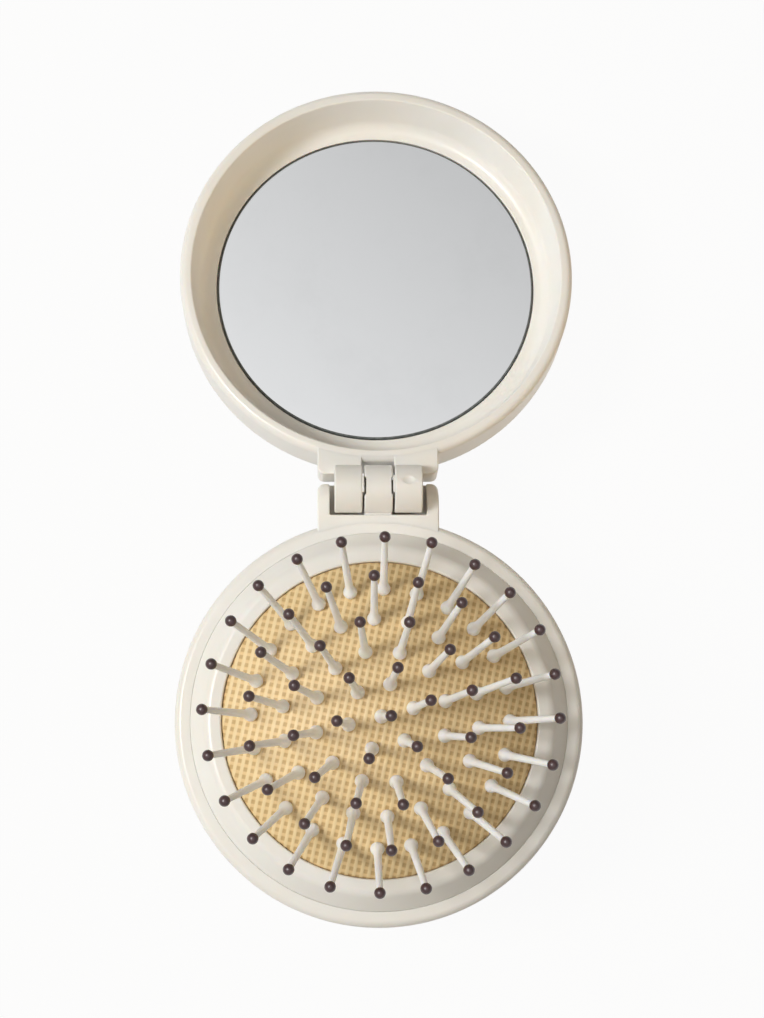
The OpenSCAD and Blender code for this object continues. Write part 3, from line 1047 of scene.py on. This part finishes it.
class BRUSH_OT_bristles(bpy.types.Operator):
    """Plants the nylon bristles and their ball tips in rings on the dome"""

    bl_idname = "brush.bristles"
    bl_label = "Bristles"

    def execute(self, context):
        scene = context.scene
        sizes = scene.brush_bristles
        cushion = scene.brush_cushion
        made = looks_of(scene)
        values = {
            "Ball": dome_ball(cushion),
            "Crown": cushion.edge + cushion.dome,
            "Middle": (0.0, -HINGE_D, scene.brush_case.height),
            **dict(zip(TURNS, sizes.turns)),
        }
        for name in ("rings", "pitch", "lean", "scatter", "seed", "centre_lean", "centre_turn"):
            values[name.replace("_", " ").capitalize()] = getattr(sizes, name)
        tree = bristle_field()
        outline = [
            (0, -ROOT_DEPTH),
            (sizes.root, -ROOT_DEPTH),
            (sizes.root, FOOT_LIFT),
            *[(sizes.foot * share, FOOT_LIFT + rise * MM) for share, rise in FOOT_OUTLINE],
            *[(sizes.shaft * share, FOOT_LIFT + rise * MM) for share, rise in SHAFT_OUTLINE],
            (sizes.shaft_end, sizes.length - SOCKET),
            (0, sizes.length - SOCKET),
        ]
        mesh = bmesh.new()
        lathe(mesh, outline, 24)
        bristles = shape(mesh, "bristles", [made["nylon"]], sharp=70.0)
        mesh = bmesh.new()
        half_circle = arc(0, 0, sizes.ball, -90, 90, 14)
        lathe(mesh, [(max(x, 0.0), sizes.length + y) for x, y in half_circle], 24)
        tips = shape(mesh, "bristle_tips", [made["tip"]], sharp=70.0)
        plant(bristles, tree, {**values, "Material": made["nylon"]})
        plant(tips, tree, {**values, "Material": made["tip"]})
        for piece, kind, slot in ((bristles, "bristle", "nylon"), (tips, "tip", "brown_tip")):
            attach(piece, "tray")
            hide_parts(f"{kind}_centre", *[f"{kind}_ring_{k}" for k in (1, 2, 3, 4)])
        return {"FINISHED"}


class BRUSH_OT_lid(bpy.types.Operator):
    """Moulds the lid: dished shell, ledge, neck, leaves and pivots"""

    bl_idname = "brush.lid"
    bl_label = "Lid"

    def execute(self, context):
        scene = context.scene
        case, lid, hinge = scene.brush_case, scene.brush_lid, scene.brush_hinge
        top = case.height - HINGE.z
        foot = lid.floor + lid.fillet
        recess = lid.glass + GLASS_GAP
        bottom = -lid.glass_depth - lid.glass_thick - FOAM
        fillet = [(x, y, 0) for x, y in arc(lid.floor, lid.fillet - lid.ledge, lid.fillet, 0, -90, 10)]
        outline = [
            (0, -lid.height, 0),
            (case.radius, -lid.height, lid.back_round),
            (case.radius, 0, lid.rim_round),
            (lid.mouth, 0, MOUTH_ROUND),
            (foot, lid.fillet - lid.ledge, 0),
            *fillet[1:],
            (recess, -lid.ledge, RECESS_ROUND),
            (recess, bottom, 0),
            (0, bottom, 0),
        ]
        mesh = bmesh.new()
        lathe(mesh, soften(outline, 10))
        bmesh.ops.translate(mesh, verts=mesh.verts, vec=(0, HINGE_D, top))
        lid_neck(mesh, top, case, lid, hinge)
        piece = shape(mesh, "lid_moulding", [looks_of(scene)["ivory"]], lid_lean())
        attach(piece, "lid")
        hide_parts("lid_shell")
        dress("mirror_pad", looks_of(scene)["foam"])
        return {"FINISHED"}


class BRUSH_OT_mirror(bpy.types.Operator):
    """Cuts the round mirror with its bevelled edge"""

    bl_idname = "brush.mirror"
    bl_label = "Mirror"

    def execute(self, context):
        scene = context.scene
        lid = scene.brush_lid
        made = looks_of(scene)
        front = -lid.glass_depth
        outline = [
            (0, front),
            (lid.glass - GLASS_BEVEL, front),
            (lid.glass, front - GLASS_BEVEL),
            (lid.glass, front - lid.glass_thick),
            (0, front - lid.glass_thick),
        ]
        mesh = bmesh.new()
        lathe(mesh, outline)
        face_height = front - HAIR
        for face in mesh.faces:
            face.material_index = 0 if face.calc_center_median().z > face_height else 1
        piece = shape(mesh, "mirror_sheet", [made["silver"], made["edge"]], lid_middle(scene), 20.0)
        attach(piece, "lid")
        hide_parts("mirror_glass")
        return {"FINISHED"}


class BRUSH_OT_studio(bpy.types.Operator):
    """Sets up the camera, the floor and the soft light"""

    bl_idname = "brush.studio"
    bl_label = "Studio"

    def execute(self, context):
        scene = context.scene
        studio = scene.brush_studio
        lens = bpy.data.cameras.new("camera")
        lens.sensor_width = 36
        lens.lens = studio.lens
        lens.clip_start = 0.01
        camera = bpy.data.objects.new("camera", lens)
        camera.rotation_euler = (studio.tilt, studio.yaw, studio.roll)
        back = camera.rotation_euler.to_matrix() @ Vector((0, 0, 1))
        camera.location = Vector(studio.target) + back * studio.distance
        scene.collection.objects.link(camera)
        scene.camera = camera
        scene.view_settings.view_transform = "Standard"
        pale_floor(scene)
        soft_world(scene, studio)
        key = hang("key", "AREA", studio.key, studio.key_place, LAMP_TARGET)
        key.shape = "DISK"
        key.size = studio.key_size
        glint = hang("glint", "AREA", studio.glint, studio.glint_place, LAMP_TARGET, True)
        glint.shape = "DISK"
        glint.size = studio.glint_size
        spot = hang("lid fill", "SPOT", studio.lid_fill, studio.lid_fill_place, studio.lid_fill_target)
        spot.color = studio.lid_fill_tint
        spot.spot_size = studio.lid_fill_cone
        spot.spot_blend = studio.lid_fill_blend
        spot.shadow_soft_size = studio.lid_fill_size
        return {"FINISHED"}


def hang(name, kind, power, place, target, gloss=False):
    """A lamp that shines at the target, and that either only gloss shows or gloss doesn't show."""
    lamp = bpy.data.lights.new(name, kind)
    lamp.energy = power
    holder = bpy.data.objects.new(name, lamp)
    holder.location = place
    holder.rotation_euler = (Vector(target) - holder.location).to_track_quat("-Z", "Y").to_euler()
    holder.visible_glossy = gloss
    holder.visible_diffuse = not gloss
    bpy.context.scene.collection.objects.link(holder)
    return lamp


def rays(wire, *kinds):
    """A wire for each kind of ray, 1 for rays of that kind and 0 for the rest."""
    path = wire.node("ShaderNodeLightPath").socket.node.outputs
    return [Wire(wire.tree, path[f"Is {kind} Ray"]) for kind in kinds]


def pale_floor(scene):
    """A wide floor, white to the camera and in gloss, that keeps a faint shadow."""
    material = bpy.data.materials.new("white floor")
    wire = cleared(material)
    paint = wire.node("ShaderNodeBsdfDiffuse", {"Color": full(scene.brush_studio.floor)})
    glow = wire.node("ShaderNodeEmission", {"Color": full(WHITE), "Strength": 1.0})
    camera_ray, glossy_ray, clear_ray = rays(wire, "Camera", "Glossy", "Transmission")
    seen = camera_ray.of("MAXIMUM", glossy_ray).of("MAXIMUM", clear_ray)
    share = seen * scene.brush_studio.white
    mixed = wire.node("ShaderNodeMixShader", {0: share, 1: paint, 2: glow})
    mixed.send("ShaderNodeOutputMaterial")
    mesh = bpy.data.meshes.new("floor")
    half = 2.0
    corners = [(-half, -half, 0), (half, -half, 0), (half, half, 0), (-half, half, 0)]
    mesh.from_pydata(corners, [], [(0, 1, 2, 3)])
    mesh.materials.append(material)
    floor = bpy.data.objects.new("floor", mesh)
    scene.collection.objects.link(floor)


def soft_world(scene, studio):
    """White to the camera, a grey sweep in gloss, and soft light from above and the left."""
    scene.world = bpy.data.worlds.new("studio")
    wire = cleared(scene.world)
    camera_ray, glossy_ray = rays(wire, "Camera", "Glossy")
    across, along, up = wire.node("ShaderNodeTexCoord").split()
    # The sweep runs from lighter to darker grey towards the back right, and dims to the horizon.
    sweep = across * 0.575 + along * 0.818
    ends = {1: 0.25, 2: 0.46, 3: studio.sheen_high, 4: studio.sheen_low}
    grey = sweep.node("ShaderNodeMapRange", {0: sweep, **ends})
    horizon = 0.3
    grey = grey * (up.smooth(0.0, 0.8) * (1 - horizon) + horizon)
    soft = (1 - camera_ray) * (1 - glossy_ray)
    shown = camera_ray + (1 - camera_ray) * glossy_ray * grey
    sky = wire.node("ShaderNodeBackground", {"Color": full(WHITE), "Strength": shown})
    left = across * -1.0
    sides = ((up, studio.above, studio.above_tint), (left, studio.beside, studio.beside_tint))
    for side, strength, colour in sides:
        level = side.of("MAXIMUM", 0.0) * soft * strength
        part = wire.node("ShaderNodeBackground", {"Color": full(colour), "Strength": level})
        sky = wire.node("ShaderNodeAddShader", {0: sky, 1: part})
    sky.send("ShaderNodeOutputWorld")


class BRUSH_PT_panel(bpy.types.Panel):
    """Lists the pieces of the brush"""

    bl_idname = "BRUSH_PT_panel"
    bl_label = "Folding Hairbrush"
    bl_space_type = "VIEW_3D"
    bl_region_type = "UI"
    bl_category = "Hairbrush"

    def draw(self, context):
        layout = self.layout
        for operator in STEPS:
            layout.operator(operator.bl_idname)
        for name, group in GROUPS.items():
            box = layout.box()
            box.label(text=name.replace("_", " ").capitalize())
            for field in group.__annotations__:
                box.prop(getattr(context.scene, name), field)


STEPS = (
    BRUSH_OT_case,
    BRUSH_OT_tray,
    BRUSH_OT_cushion,
    BRUSH_OT_bristles,
    BRUSH_OT_lid,
    BRUSH_OT_mirror,
    BRUSH_OT_studio,
)


def register():
    for group in (*GROUPS.values(), *STEPS, BRUSH_PT_panel):
        bpy.utils.register_class(group)
    for name, group in GROUPS.items():
        setattr(bpy.types.Scene, name, bpy.props.PointerProperty(type=group))


def unregister():
    for name in GROUPS:
        delattr(bpy.types.Scene, name)
    for group in reversed((*GROUPS.values(), *STEPS, BRUSH_PT_panel)):
        bpy.utils.unregister_class(group)


def main():
    register()
    for operator in STEPS:
        group, name = operator.bl_idname.split(".")
        getattr(getattr(bpy.ops, group), name)()


if __name__ == "__main__":
    main()
